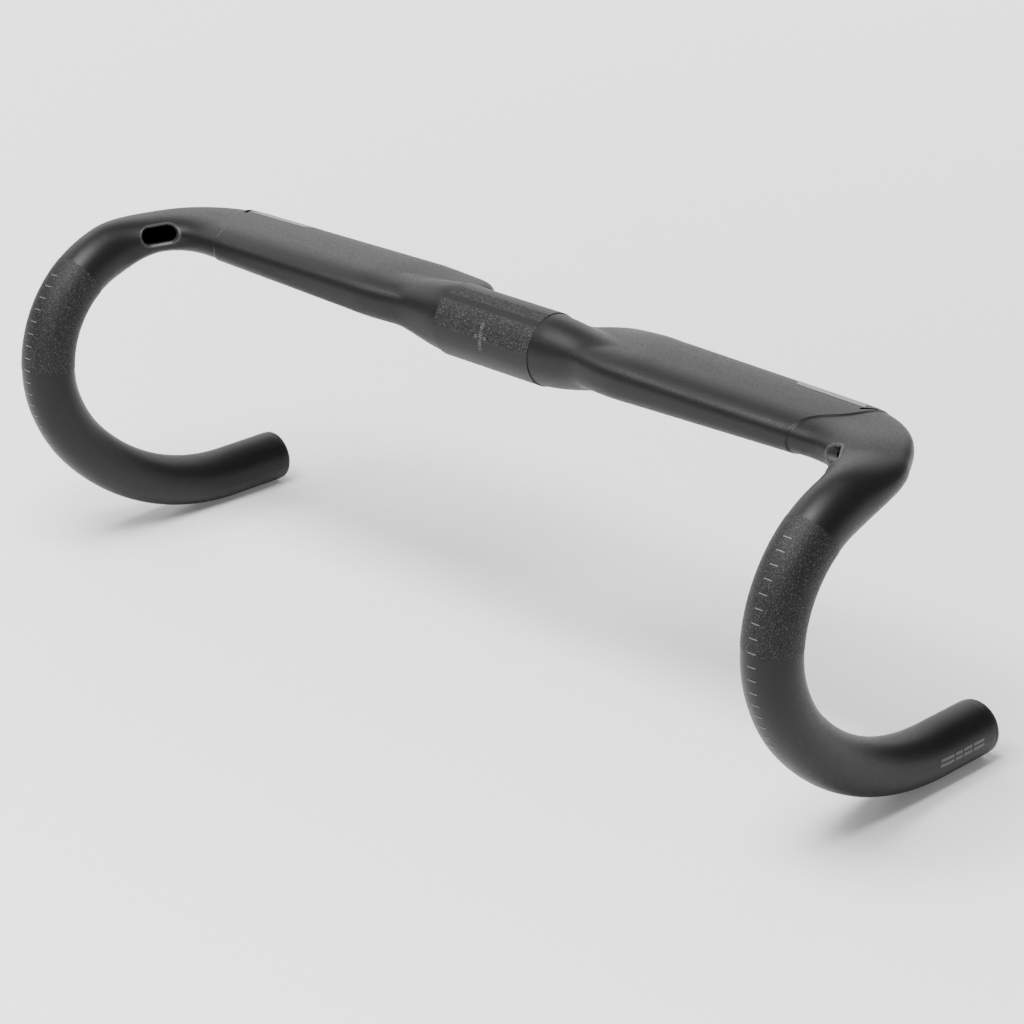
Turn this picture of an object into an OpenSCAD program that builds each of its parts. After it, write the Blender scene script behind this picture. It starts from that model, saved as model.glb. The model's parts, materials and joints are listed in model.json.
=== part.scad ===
// Drop handlebar with flat aero tops: a hollow moulded bar of a wing section
// and two hooked drops, with its bonded sleeves, grip bands, cable guides,
// printed marks and expanding end plugs.
// Frame: +X is the rider's left, the bar faces -Y, +Z is up. The origin is
// the centre of the stem clamp, on its axis. Each module that takes `side`
// draws the left half for 1 and the right half for -1.

/* [Clamp] */
// Diameter of the stem clamp zone
clamp_d = 31.8; // [31.6:0.1:32]
// Width of the gritty clamp band
clamp_band_w = 54; // [30:1:54]

/* [Wing] */
// Distance from the centre to the start of each corner
wing_half = 174.2; // [168:0.1:180]
// Trailing edge near the clamp, distance behind the clamp axis
tail_inner = 29.8; // [26:0.1:32]
// Trailing edge at the corner, distance behind the clamp axis
tail_outer = 26.2; // [23:0.1:28]
// Leading edge, distance ahead of the clamp axis
nose_reach = 17.1; // [16:0.1:19]
// Height of the wing's middle above the clamp axis, near the clamp
lift_inner = 2.2; // [1:0.1:4]
// Height of the wing's middle above the clamp axis, at the corner
lift_outer = 3.2; // [2:0.1:5]
// Thickness of the wing near the clamp
thick_inner = 19.5; // [18:0.1:21]
// Thickness of the wing at the corner
thick_outer = 15.6; // [15:0.1:18]
// Upward tilt of the trailing edge, degrees
wing_tilt = 2.2; // [0:0.1:5]
// Where the trailing edge starts, distance from the centre
tail_start = 33.3; // [31:0.1:35]
// Depth of the step down to the tape zone
tape_step = 0.5; // [0.3:0.1:1]
// Where the step meets the leading edge, distance from the centre
step_at = 164.5; // [160:0.5:168]
// How far the step runs outboard from nose to tail
step_sweep = 15; // [5:1:18]

/* [Drops] */
// Outside diameter of the drops
tube_d = 23.8; // [23.4:0.1:24.2]
// Wall thickness of the drops
tube_wall = 1.9; // [1.6:0.1:2.4]
// Distance between the drops, centre to centre
bar_width = 422; // [400:2:440]
// Distance from the clamp axis forward to the start of the hooks
hook_start = 43; // [40:0.5:46]
// Height of the start of the hooks
hook_height = -3.8; // [-6:0.1:-2]
// Downward slope at the start of the hooks, degrees
ramp_angle = 20.7; // [15:0.1:25]
// Straight run before the first bend
ramp_run = 2.6; // [2:0.1:6]
// Radius of the first bend
bend_1_r = 49.3; // [45:0.1:55]
// Angle of the first bend, degrees
bend_1_a = 89.3; // [80:0.1:95]
// Radius of the second bend
bend_2_r = 71.9; // [65:0.1:80]
// Angle of the second bend, degrees
bend_2_a = 24.1; // [20:0.1:30]
// Radius of the third bend
bend_3_r = 119.7; // [110:0.1:125]
// Length of the straight end
end_run = 28.9; // [26:0.1:40]

/* [Plugs] */
// Diameter of the plug's flange
plug_flange_d = 23.4; // [22:0.1:23.8]
// Thickness of the plug's flange
plug_flange_t = 1.2; // [1:0.1:2]

/* [Hidden] */

EPS = 0.01;
TUBE_R = tube_d / 2;
BORE_R = TUBE_R - tube_wall;
CLAMP_R = clamp_d / 2;
BAND_T = 0.15;           // thickness of a gritty band
MARK_T = 0.1;            // thickness of a printed mark
SKIN_GAP = 0.02;         // between a skin and what it lies on
GLUE_GAP = 0.05;         // between two bonded pieces
HALF_W = bar_width / 2;

// ---- wing and corner surface ----
RING_N = 32;             // points round one section
SECTION_POWER = 2.7;     // roundness of the wing section
CORNER_POWER = 2;        // roundness at the hooks
CORE_HALF = 10;          // half chord of the section inside the clamp barrel
FULL_CHORD_X = 77.5;     // where the nose reaches its full chord
NOSE_FROM = 21.3;        // where the nose starts to grow
TAIL_CORNER = 13.5;      // plan radius of the trailing edge's inner corner
TAIL_FLARE = 9.5;        // how much further back the trailing edge's inner corner reaches
FLARE_RUN = 47;          // distance over which that flare dies out
LIFT_FROM = 23;          // where the wing starts to rise and tilt
LIFT_RUN = 60.8;
TILT_INNER = -3;         // tilt beside the clamp, degrees
TILT_EASE = 10;          // distance over which the inner tilt sets in
TILT_FROM = 38.9;        // where the tilt starts to change to the wing's own
TILT_RUN = 33.4;
BARREL_FADE = [24, 76.8]; // where the clamp barrel fades into the wing
BARREL_END = 0.85;       // the faded barrel's radius, as a share of the wing's half thickness
FILLET = 6;              // blend between the clamp barrel and the wing
CORNER_OUT = 26.8;       // handle of the corner curve along the wing
CORNER_IN = 20.8;        // handle of the corner curve along the ramp
CORNER_NOSE = 14.7;      // half width of the corner at its middle, on the inside of the turn
CORNER_TAIL = 16;        // half width of the corner at its middle, on the outside of the turn
CORNER_HALF_T = 8.3;     // half thickness of the corner at its middle
CORNER_SPLIT = 0.54;     // where that middle lies along the corner, 0 to 1
CORNER_RUN = 3 * CORNER_OUT;
STATION_END = wing_half + CORNER_RUN;
STEP_RUN = 40;           // distance over which the tape zone rises back to the full section
SWEEP_RUN = 60;          // distance either side of the step over which the sweep dies out
WALL = 3;                // wall of the wing and corners
SHELL_GAP = 0.2;         // clamp zone lies under the band's surface by this

function mix(a, b, t) = a + (b - a) * t;
function unit01(t) = min(max(t, 0), 1);
function ease(t) = let (u = unit01(t)) u * u * (3 - 2 * u);
function unit(v) = v / norm(v);

// the ramp's start and direction, left side
RAMP_START = [HALF_W, -hook_start, hook_height];
RAMP_DIR = [0, -cos(ramp_angle), -sin(ramp_angle)];

// corner curve from the wing's end to the ramp's start
CORNER = [
  [wing_half, 0, lift_outer],
  [wing_half + CORNER_OUT, 0, lift_outer],
  RAMP_START - CORNER_IN * RAMP_DIR,
  RAMP_START
];
function corner_point(t) =
  pow(1 - t, 3) * CORNER[0] + 3 * pow(1 - t, 2) * t * CORNER[1]
  + 3 * (1 - t) * t * t * CORNER[2] + pow(t, 3) * CORNER[3];
function corner_dir(t) = unit(
  pow(1 - t, 2) * (CORNER[1] - CORNER[0]) + 2 * (1 - t) * t * (CORNER[2] - CORNER[1])
  + t * t * (CORNER[3] - CORNER[2]));
function corner_t(s) = unit01((s - wing_half) / CORNER_RUN);

// section of the bar at station s: [nose, tail, half thickness, power, tilt]
function wing_u(s) = unit01((s - FULL_CHORD_X) / (wing_half - FULL_CHORD_X));
function tail_growth(s) =
  let (q = unit01((s - tail_start) / TAIL_CORNER)) sqrt(1 - pow(1 - q, 2));
function tail_reach(s) =
  mix(tail_inner, tail_outer, wing_u(s)) + TAIL_FLARE * (1 - ease((s - tail_start) / FLARE_RUN));
function wing_lift_at(s) =
  mix(lift_inner, lift_outer, wing_u(s)) * ease((s - LIFT_FROM) / LIFT_RUN);
function wing_tilt_at(s) =
  mix(tan(TILT_INNER), tan(wing_tilt), ease((s - TILT_FROM) / TILT_RUN))
  * ease((s - LIFT_FROM) / TILT_EASE);
function wing_section_at(s) =
  [
    mix(CORE_HALF, nose_reach, ease((s - NOSE_FROM) / (FULL_CHORD_X - NOSE_FROM))),
    mix(CORE_HALF, tail_reach(s), tail_growth(s)),
    mix(thick_inner, thick_outer, wing_u(s)) / 2,
    SECTION_POWER,
    wing_tilt_at(s)
  ];
function corner_section_at(t) =
  let (a = ease(t / CORNER_SPLIT), b = ease((t - CORNER_SPLIT) / (1 - CORNER_SPLIT)))
  [
    mix(mix(nose_reach, CORNER_NOSE, a), TUBE_R, b),
    mix(mix(tail_outer, CORNER_TAIL, a), TUBE_R, b),
    mix(mix(thick_outer / 2, CORNER_HALF_T, a), TUBE_R, b),
    mix(SECTION_POWER, CORNER_POWER, ease(t / 0.8)),
    tan(wing_tilt) * (1 - a)
  ];
// radius of a section in direction ang, shrunk by `inset` all round
function section_r(sec, ang, inset) =
  let (half = (cos(ang) > 0 ? sec[1] : sec[0]) - inset, high = sec[2] - inset)
  pow(pow(abs(cos(ang)) / half, sec[3]) + pow(abs(sin(ang)) / high, sec[3]), -1 / sec[3]);
// radius of the clamp barrel seen from a centre that is `rise` above its axis
function barrel_r(r, rise, ang) = sqrt(r * r - pow(rise * cos(ang), 2)) - rise * sin(ang);
function soft_max(a, b, blend) = max(a, b) + pow(max(blend - abs(a - b), 0), 2) / (4 * blend);

// a point of the left half's surface, at station s and direction ang
function wing_point(s, ang, inset) =
  let (
    sec = wing_section_at(s),
    lift = wing_lift_at(s),
    fade = ease((s - BARREL_FADE[0]) / (BARREL_FADE[1] - BARREL_FADE[0])),
    barrel = mix(CLAMP_R - SHELL_GAP, BARREL_END * sec[2], fade) - inset,
    round_r = barrel_r(barrel, lift * (1 - fade), ang),
    r = soft_max(section_r(sec, ang, inset), round_r, max(FILLET * (1 - fade), EPS)),
    y = r * cos(ang)
  )
  [s, y, lift + sec[4] * y + r * sin(ang)];
function corner_surface(s, ang, inset) =
  let (
    t = corner_t(s),
    dir = corner_dir(t),
    up = unit([0, 0, 1] - dir[2] * dir),
    across = cross(up, dir),
    sec = corner_section_at(t),
    r = section_r(sec, ang, inset),
    y = r * cos(ang)
  )
  corner_point(t) + y * across + (r * sin(ang) + sec[4] * y) * up;
function bar_point(s, ang, inset) =
  s < wing_half ? wing_point(s, ang, inset) : corner_surface(s, ang, inset);

// the step line runs from the nose outboard to the tail
function sweep_at(ang) = step_sweep * pow((1 + cos(ang)) / 2, 0.8);
function sweep_weight(s) = ease(1 - abs(s - step_at) / SWEEP_RUN);
function bar_ring(s, inset) =
  [for (i = [0:RING_N - 1]) let (ang = 360 * i / RING_N)
    bar_point(min(s + sweep_at(ang) * sweep_weight(s), STATION_END), ang, inset)];
function mirrored(ring) = [for (p = ring) [-p[0], p[1], p[2]]];

// stations from the centre out; the step sits between the last wing one and the first tape one
STEP_W = 1.2;
WING_STATIONS = concat(
  [22, 24.5, 27.5, 30.5],
  [for (i = [1:5]) tail_start + TAIL_CORNER * (1 - cos(18 * i))],
  [49, 54, 59, 64, 70, 78, 92, 112, 132, 149, step_at]
);
TAPE_STATIONS = [for (i = [0:14]) mix(step_at + STEP_W, STATION_END, i / 14)];
CAVITY_STATIONS = concat(
  [0, 24.5, 32, 36, 44, 54, 64, 78, 104, 140],
  [for (i = [0:10]) mix(wing_half, STATION_END, i / 10)]
);

function outer_half() = concat(
  [for (s = WING_STATIONS) bar_ring(s, 0)],
  [for (s = TAPE_STATIONS) bar_ring(s, tape_step * (1 - ease((s - step_at) / STEP_RUN)))]
);
function cavity_half() = [for (s = CAVITY_STATIONS) bar_ring(s, WALL)];

function whole_bar(half) = concat(
  [for (i = [len(half) - 1:-1:0]) mirrored(half[i])],
  [for (i = [half[0][0][0] == 0 ? 1 : 0:len(half) - 1]) half[i]]
);

// faces of a tube of rings, with its two ends closed
module ring_body(rings) {
  n = len(rings);
  m = len(rings[0]);
  points = [for (ring = rings, p = ring) p];
  sides = [for (i = [0:n - 2], j = [0:m - 1])
    let (k = (j + 1) % m, a = i * m, b = a + m)
    each [[a + j, b + k, a + k], [a + j, b + j, b + k]]];
  first = [[for (j = [0:m - 1]) j]];
  last = [[for (j = [m - 1:-1:0]) (n - 1) * m + j]];
  polyhedron(points, concat(sides, first, last), convexity = 8);
}

// ---- hooks ----
BEND_3_A = 180 - ramp_angle - bend_1_a - bend_2_a;

// a hook runs in an upright plane; a place on it is [forward, height, slope]
function after_line(p, run) = [p[0] + run * cos(p[2]), p[1] - run * sin(p[2]), p[2]];
function after_bend(p, r, a) = [
  p[0] + r * (sin(p[2] + a) - sin(p[2])),
  p[1] + r * (cos(p[2] + a) - cos(p[2])),
  p[2] + a
];
H_START = [hook_start, hook_height, ramp_angle];
H_BEND_1 = after_line(H_START, ramp_run);
H_BEND_2 = after_bend(H_BEND_1, bend_1_r, bend_1_a);
H_BEND_3 = after_bend(H_BEND_2, bend_2_r, bend_2_a);
H_END_RUN = after_bend(H_BEND_3, bend_3_r, BEND_3_A);
H_END = after_line(H_END_RUN, end_run);

// put a child drawn along +Z at a place on the hook, pointing along it
module at_place(p) translate([HALF_W, -p[0], p[1]]) rotate([90 + p[2], 0, 0]) children();
// bend a 2D child, drawn round [r, 0], through `a` degrees from a place on the hook
module bend_from(p, r, a)
  translate([HALF_W, -p[0] + r * sin(p[2]), p[1] - r * cos(p[2])])
    rotate([180 + p[2], 0, 0]) rotate([0, 90, 0])
      rotate_extrude(angle = a, $fn = 180) translate([r, 0]) children();
module annulus(outer, inner) difference() {
  circle(outer, $fn = 64);
  circle(inner, $fn = 64);
}
module pipe(outer, inner, run) linear_extrude(run) annulus(outer, inner);
// the part of an annulus within `half` degrees of the direction `mid`
module sector(outer, inner, mid, half) intersection() {
  annulus(outer, inner);
  rotate(mid) polygon([
    [0, 0],
    [2 * outer, -2 * outer * tan(half)],
    [2 * outer, 2 * outer * tan(half)]
  ]);
}
module one_side(side) {
  if (side > 0) children();
  else mirror([1, 0, 0]) children();
}
module carbon() color([0.13, 0.13, 0.14]) children();
module grit() color([0.19, 0.19, 0.2]) children();
module print_grey() color([0.75, 0.75, 0.73]) children();
module dark_plastic() color([0.09, 0.09, 0.09]) children();

// ---- cable ports ----
PORT_LONG = 17.5;        // entry port, along the corner
PORT_WIDE = 9;           // entry port, across
PORT_T = 0.57;           // where it lies along the corner, 0 to 1
PORT_ANG = 169;          // where it lies round the section
PORT_OVER = 3;           // how far the cut runs past the surface, outwards
PORT_UNDER = 6;          // and inwards
EXIT_X = 70;             // exit port, distance from the centre
EXIT_Y = 3;
EXIT_LONG = 16;
EXIT_WIDE = 8;
EXIT_OVER = 4;
EXIT_UNDER = 5;
GROMMET_WALL = 0.8;
GROMMET_FIT = 0.05;      // between a grommet and its port, each side
SLOT_PLACE = [179, 16.3, 10.2]; // tuck slot for the end of the tape, at the rear end of the step
SLOT_TURN = 60;          // its direction, degrees outboard to rearward
SLOT_LONG = 8;
SLOT_WIDE = 1.8;
SLOT_DEEP = 1;
PORT_POINT = corner_surface(wing_half + PORT_T * CORNER_RUN, PORT_ANG, 0);
PORT_ALONG = corner_dir(PORT_T);
PORT_CENTRE = corner_point(PORT_T);
PORT_OUT = let (raw = PORT_POINT - PORT_CENTRE) unit(raw - (raw * PORT_ALONG) * PORT_ALONG);

// an oval prism: `long` along X, `wide` across, drawn from z = 0 up
module oval(long, wide, high) {
  for (i = [-1, 1]) translate([i * (long - wide) / 2, 0, 0]) cylinder(h = high, d = wide, $fn = 48);
  translate([-(long - wide) / 2, -wide / 2, 0]) cube([long - wide, wide, high]);
}
// local X runs along the corner and local Z points out of the port
module at_port() {
  side_way = cross(PORT_OUT, PORT_ALONG);
  placing = [
    [PORT_ALONG[0], side_way[0], PORT_OUT[0], PORT_POINT[0]],
    [PORT_ALONG[1], side_way[1], PORT_OUT[1], PORT_POINT[1]],
    [PORT_ALONG[2], side_way[2], PORT_OUT[2], PORT_POINT[2]],
    [0, 0, 0, 1]
  ];
  multmatrix(placing) children();
}
module at_exit() translate([EXIT_X, EXIT_Y, -thick_inner / 2 + lift_inner]) children();
module grommet(long, wide, low, high) translate([0, 0, low]) difference() {
  oval(long, wide, high - low);
  translate([0, 0, -1]) oval(long - 2 * GROMMET_WALL, wide - 2 * GROMMET_WALL, high - low + 2);
}

// ---- wing section: clamp barrel, flat tops and corners in one hollow moulding ----
SOCKET_DEPTH = 9;
module wing_section() carbon() difference() {
  ring_body(whole_bar(outer_half()));
  ring_body(whole_bar(cavity_half()));
  for (side = [1, -1]) one_side(side) {
    at_place(H_START) translate([0, 0, -SOCKET_DEPTH]) cylinder(h = SOCKET_DEPTH + 1, r = BORE_R, $fn = 64);
    at_port() translate([0, 0, -PORT_UNDER]) oval(PORT_LONG, PORT_WIDE, PORT_OVER + PORT_UNDER);
    at_exit() translate([0, 0, -EXIT_OVER]) oval(EXIT_LONG, EXIT_WIDE, EXIT_OVER + EXIT_UNDER);
    translate(SLOT_PLACE) rotate([0, 0, SLOT_TURN]) translate([0, 0, -SLOT_DEEP])
      oval(SLOT_LONG, SLOT_WIDE, 2 * SLOT_DEEP);
  }
}

// ---- drops ----
// a ring of radius r, COLLAR_LIFT proud, that covers the joint between two runs
COLLAR_LIFT = 0.01;
COLLAR_W = 0.6;
module collar(p, r) at_place(p) translate([0, 0, -COLLAR_W / 2])
  cylinder(h = COLLAR_W, r = r + COLLAR_LIFT, $fn = 64);
// the whole hook as a rod of radius r, running `over` past both ends
module hook_rod(r, over) {
  at_place(H_START) translate([0, 0, -over]) cylinder(h = ramp_run + over, r = r, $fn = 64);
  bend_from(H_BEND_1, bend_1_r, bend_1_a) circle(r, $fn = 64);
  bend_from(H_BEND_2, bend_2_r, bend_2_a) circle(r, $fn = 64);
  bend_from(H_BEND_3, bend_3_r, BEND_3_A) circle(r, $fn = 64);
  at_place(H_END_RUN) cylinder(h = end_run + over, r = r, $fn = 64);
  for (p = [H_BEND_1, H_BEND_2, H_BEND_3, H_END_RUN]) collar(p, r);
}
module drop(side) carbon() one_side(side) difference() {
  hook_rod(TUBE_R, -GLUE_GAP);
  hook_rod(BORE_R, 1);
}

// ---- bonded sleeve between the wing section and a drop ----
SLEEVE_R = BORE_R - GLUE_GAP;
SLEEVE_WALL = 1.1;
SLEEVE_IN = SOCKET_DEPTH - 0.3;
SLEEVE_BEND = 9;         // degrees of the first bend that it follows
module sleeve_rod(r, over) {
  at_place(H_START) translate([0, 0, -SLEEVE_IN - over])
    cylinder(h = SLEEVE_IN + over + ramp_run, r = r, $fn = 64);
  bend_from(H_BEND_1, bend_1_r, SLEEVE_BEND + over) circle(r, $fn = 64);
  collar(H_BEND_1, r);
}
module joint_sleeve(side) carbon() one_side(side) difference() {
  sleeve_rod(SLEEVE_R, 0);
  sleeve_rod(SLEEVE_R - SLEEVE_WALL, 1);
}

// ---- gritty bands ----
// a thin shell over part of the clamp band, between two angles from the top
module clamp_patch(x, width, from, to, inner, outer)
  translate([x, 0, 0]) rotate([0, 90, 0]) rotate([0, 0, 180 - to])
    rotate_extrude(angle = to - from, $fn = 180) translate([inner, 0]) square([outer - inner, width]);
module mark_shapes(inner, outer) {
  clamp_patch(-0.9, 1.8, -102, -56, inner, outer);
  for (x = [-3.4, 1.6]) clamp_patch(x, 1.8, -84, -74, inner, outer);
}
module clamp_grip_band() grit() difference() {
  translate([-clamp_band_w / 2, 0, 0]) rotate([0, 90, 0])
    pipe(CLAMP_R, CLAMP_R - BAND_T, clamp_band_w);
  mark_shapes(CLAMP_R - BAND_T - 1, CLAMP_R + 1);
}
module centre_mark() print_grey() mark_shapes(CLAMP_R - BAND_T, CLAMP_R);

LEVER_FROM = 15.5;        // lever band, degrees into the first bend
LEVER_TO = 68;
module lever_grip_band(side) grit() one_side(side)
  bend_from(after_bend(H_BEND_1, bend_1_r, LEVER_FROM), bend_1_r, LEVER_TO - LEVER_FROM)
    annulus(TUBE_R + BAND_T, TUBE_R + SKIN_GAP);

// ---- scale marks down the front of a hook ----
TICK_COUNT = 17;
TICK_START = 24.3;       // degrees into the first bend
TICK_PITCH = 5.7;        // spacing along the front of the hook
TICK_W = 0.4;
TICK_LONG = 9;           // half length, degrees round the tube
module tick(base, r_bend, into) {
  spread = 180 * TICK_W / (PI * (r_bend + TUBE_R));
  on_band = r_bend == bend_1_r && into < LEVER_TO;
  under = TUBE_R + (on_band ? BAND_T : 0) + SKIN_GAP;
  bend_from(after_bend(base, r_bend, into), r_bend, spread) sector(under + MARK_T, under, 0, TICK_LONG);
}
module scale_marks(side) print_grey() one_side(side)
  for (i = [0:TICK_COUNT - 1]) {
    first = TICK_START + i * 180 * TICK_PITCH / (PI * (bend_1_r + TUBE_R));
    over = first - bend_1_a;
    if (over < 0) tick(H_BEND_1, bend_1_r, first);
    else tick(H_BEND_2, bend_2_r, over * (bend_1_r + TUBE_R) / (bend_2_r + TUBE_R));
  }

// ---- two rows of printed dashes on the outer side of a drop's straight end ----
DASH_ROWS = [99, 89];    // directions round the tube, degrees from the outside of the bend
DASH_T = 0.05;           // thin, so that a lever's clamp or a plug still slides over it
DASH_HALF = 3;           // half width, degrees round the tube
DASH_STARTS = [1, 6.5, 13];
DASH_RUNS = [4.5, 5.5, 7];
DASH_BACK = 9;           // length of the dash that lies on the last bend
module end_print(side) print_grey() one_side(side) {
  under = TUBE_R + SKIN_GAP;
  back = 180 * DASH_BACK / (PI * bend_3_r);
  for (row = DASH_ROWS) {
    for (i = [0:2]) at_place(H_END_RUN) translate([0, 0, DASH_STARTS[i]])
      linear_extrude(DASH_RUNS[i]) sector(under + DASH_T, under, 90 - row, DASH_HALF);
    bend_from(after_bend(H_BEND_3, bend_3_r, BEND_3_A - back), bend_3_r, back)
      sector(under + DASH_T, under, row, DASH_HALF);
  }
}

// ---- printed strip along the trailing edge ----
DECAL_ANGLES = [12, 24]; // rear and front edge, degrees round the section
DECAL_FROM = [138, 142.5]; // inboard end, at the rear and the front edge
DECAL_TO = [173.5, 176.5];
DECAL_LIFT = 0.03;
DECAL_STEPS = 8;
function decal_point(along, over, lift) = bar_point(
  mix(mix(DECAL_FROM[0], DECAL_FROM[1], over), mix(DECAL_TO[0], DECAL_TO[1], over), along),
  mix(DECAL_ANGLES[0], DECAL_ANGLES[1], over), -lift);
function decal_ring(along) = concat(
  [for (over = [0, 0.5, 1]) decal_point(along, over, DECAL_LIFT + MARK_T)],
  [for (over = [1, 0.5, 0]) decal_point(along, over, DECAL_LIFT)]
);
module edge_decal(side) print_grey() one_side(side)
  ring_body([for (i = [0:DECAL_STEPS]) decal_ring(i / DECAL_STEPS)]);

// ---- cable port grommets ----
module entry_grommet(side) dark_plastic() one_side(side) at_port()
  grommet(PORT_LONG - 2 * GROMMET_FIT, PORT_WIDE - 2 * GROMMET_FIT, -4.4, -1.4);
module exit_grommet(side) dark_plastic() one_side(side) at_exit()
  grommet(EXIT_LONG - 2 * GROMMET_FIT, EXIT_WIDE - 2 * GROMMET_FIT, 0.2, 3.6);

// ---- expanding end plugs: local +Z points out of the bar's end ----
PLUG_R = BORE_R - 0.05;
SCREW_R = 2;
SCREW_FIT = 0.05;
HEAD_R = 3.5;
HEAD_T = 3;
HEAD_SEAT = 2.4;         // head seat, below the flange's inner face
CAP_SPIGOT = 7;
CAP_GAP = 0.2;           // between the flange and the bar's end
EXPANDER_RUN = 12;
WEDGE_RUN = 8;
WEDGE_GAP = 0.3;
WEDGE_IN = 4;            // how far the wedge sits up inside the expander
CONE_WIDE = 8;
CONE_TIGHT = 6;
SCREW_END = CAP_SPIGOT + EXPANDER_RUN + WEDGE_RUN - WEDGE_IN + 0.8;

module at_end(side) one_side(side) at_place(H_END) children();
module plug_cap(side) dark_plastic() at_end(side) difference() {
  union() {
    translate([0, 0, CAP_GAP]) cylinder(h = plug_flange_t, d = plug_flange_d, $fn = 64);
    translate([0, 0, -CAP_SPIGOT]) cylinder(h = CAP_SPIGOT + CAP_GAP + 0.5, r = PLUG_R, $fn = 64);
  }
  translate([0, 0, -CAP_SPIGOT - 1]) cylinder(h = 30, r = SCREW_R + SCREW_FIT, $fn = 48);
  translate([0, 0, -HEAD_SEAT]) cylinder(h = 20, r = HEAD_R + 0.3, $fn = 48);
}
module plug_expander(side) color([0.2, 0.2, 0.2]) at_end(side) difference() {
  translate([0, 0, -CAP_SPIGOT - EXPANDER_RUN]) cylinder(h = EXPANDER_RUN, r = PLUG_R, $fn = 64);
  translate([0, 0, -CAP_SPIGOT - EXPANDER_RUN - 1]) cylinder(h = EXPANDER_RUN + 2, r = CONE_TIGHT, $fn = 64);
  translate([0, 0, -CAP_SPIGOT - EXPANDER_RUN - EPS])
    cylinder(h = WEDGE_IN + 2, r1 = CONE_WIDE, r2 = CONE_TIGHT, $fn = 64);
  for (a = [0, 90, 180, 270]) rotate(a)
    translate([0, -0.6, -CAP_SPIGOT - EXPANDER_RUN - 1]) cube([20, 1.2, EXPANDER_RUN - 2]);
}
module plug_wedge(side) color([0.6, 0.6, 0.62]) at_end(side)
  translate([0, 0, -CAP_SPIGOT - EXPANDER_RUN + WEDGE_IN]) difference() {
    union() {
      translate([0, 0, -WEDGE_IN])
        cylinder(h = WEDGE_IN, r1 = CONE_WIDE - WEDGE_GAP, r2 = CONE_TIGHT + 0.66 - WEDGE_GAP, $fn = 64);
      translate([0, 0, -WEDGE_RUN]) cylinder(h = WEDGE_RUN - WEDGE_IN, r = CONE_WIDE - WEDGE_GAP, $fn = 64);
    }
    translate([0, 0, -WEDGE_RUN - 1]) cylinder(h = WEDGE_RUN + 2, r = SCREW_R + SCREW_FIT, $fn = 48);
  }
module plug_screw(side) color([0.35, 0.35, 0.37]) at_end(side) difference() {
  union() {
    translate([0, 0, -SCREW_END]) cylinder(h = SCREW_END - HEAD_SEAT + 0.5, r = SCREW_R, $fn = 48);
    translate([0, 0, -HEAD_SEAT + 0.05]) cylinder(h = HEAD_T, r = HEAD_R, $fn = 48);
  }
  translate([0, 0, -HEAD_SEAT + HEAD_T - 1.6]) cylinder(h = 4, d = 2.9 / cos(30), $fn = 6);
}

wing_section();
drop(1);  // left_drop
drop(-1);  // right_drop
joint_sleeve(1);  // left_joint_sleeve
joint_sleeve(-1);  // right_joint_sleeve
clamp_grip_band();
lever_grip_band(1);  // left_lever_grip_band
lever_grip_band(-1);  // right_lever_grip_band
entry_grommet(1);  // left_entry_grommet
entry_grommet(-1);  // right_entry_grommet
exit_grommet(1);  // left_exit_grommet
exit_grommet(-1);  // right_exit_grommet
edge_decal(1);  // left_edge_decal
edge_decal(-1);  // right_edge_decal
scale_marks(1);  // left_scale_marks
scale_marks(-1);  // right_scale_marks
centre_mark();
end_print(1);  // left_end_print
end_print(-1);  // right_end_print
plug_cap(1);  // left_plug_cap
plug_cap(-1);  // right_plug_cap
plug_expander(1);  // left_plug_expander
plug_expander(-1);  // right_plug_expander
plug_wedge(1);  // left_plug_wedge
plug_wedge(-1);  // right_plug_wedge
plug_screw(1);  // left_plug_screw
plug_screw(-1);  // right_plug_screw
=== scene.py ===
import json
import math

import bpy
import numpy as np
from mathutils import Matrix, Vector


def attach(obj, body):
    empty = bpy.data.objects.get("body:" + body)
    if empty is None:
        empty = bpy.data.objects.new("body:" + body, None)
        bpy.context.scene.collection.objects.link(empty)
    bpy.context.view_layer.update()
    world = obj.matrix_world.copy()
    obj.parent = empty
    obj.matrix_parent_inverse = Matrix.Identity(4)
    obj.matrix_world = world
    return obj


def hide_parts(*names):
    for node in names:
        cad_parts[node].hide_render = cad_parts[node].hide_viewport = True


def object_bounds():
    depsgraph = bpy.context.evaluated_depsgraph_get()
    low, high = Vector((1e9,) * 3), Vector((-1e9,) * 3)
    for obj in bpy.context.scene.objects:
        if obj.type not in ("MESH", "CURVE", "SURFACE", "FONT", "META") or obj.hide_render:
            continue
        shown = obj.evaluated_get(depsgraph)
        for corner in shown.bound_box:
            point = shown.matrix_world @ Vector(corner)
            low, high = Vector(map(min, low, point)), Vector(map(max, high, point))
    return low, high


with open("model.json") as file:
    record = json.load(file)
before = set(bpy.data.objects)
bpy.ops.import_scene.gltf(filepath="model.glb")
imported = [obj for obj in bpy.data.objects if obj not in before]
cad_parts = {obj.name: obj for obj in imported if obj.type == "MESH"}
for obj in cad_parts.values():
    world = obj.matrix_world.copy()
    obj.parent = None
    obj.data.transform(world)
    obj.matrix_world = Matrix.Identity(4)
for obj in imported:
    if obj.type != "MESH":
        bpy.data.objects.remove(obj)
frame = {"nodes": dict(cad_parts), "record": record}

CAD_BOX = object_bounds()
MM = 0.001

# ---------------------------------------------------------------- design sizes, in millimetres
# stem clamp
CLAMP_R = 15.9
BAND_HALF = 27.0
BAND_T = 0.15
EDGE_LINE = 0.35
SKIN_GAP = 0.02
SHELL_GAP = 0.2

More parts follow.
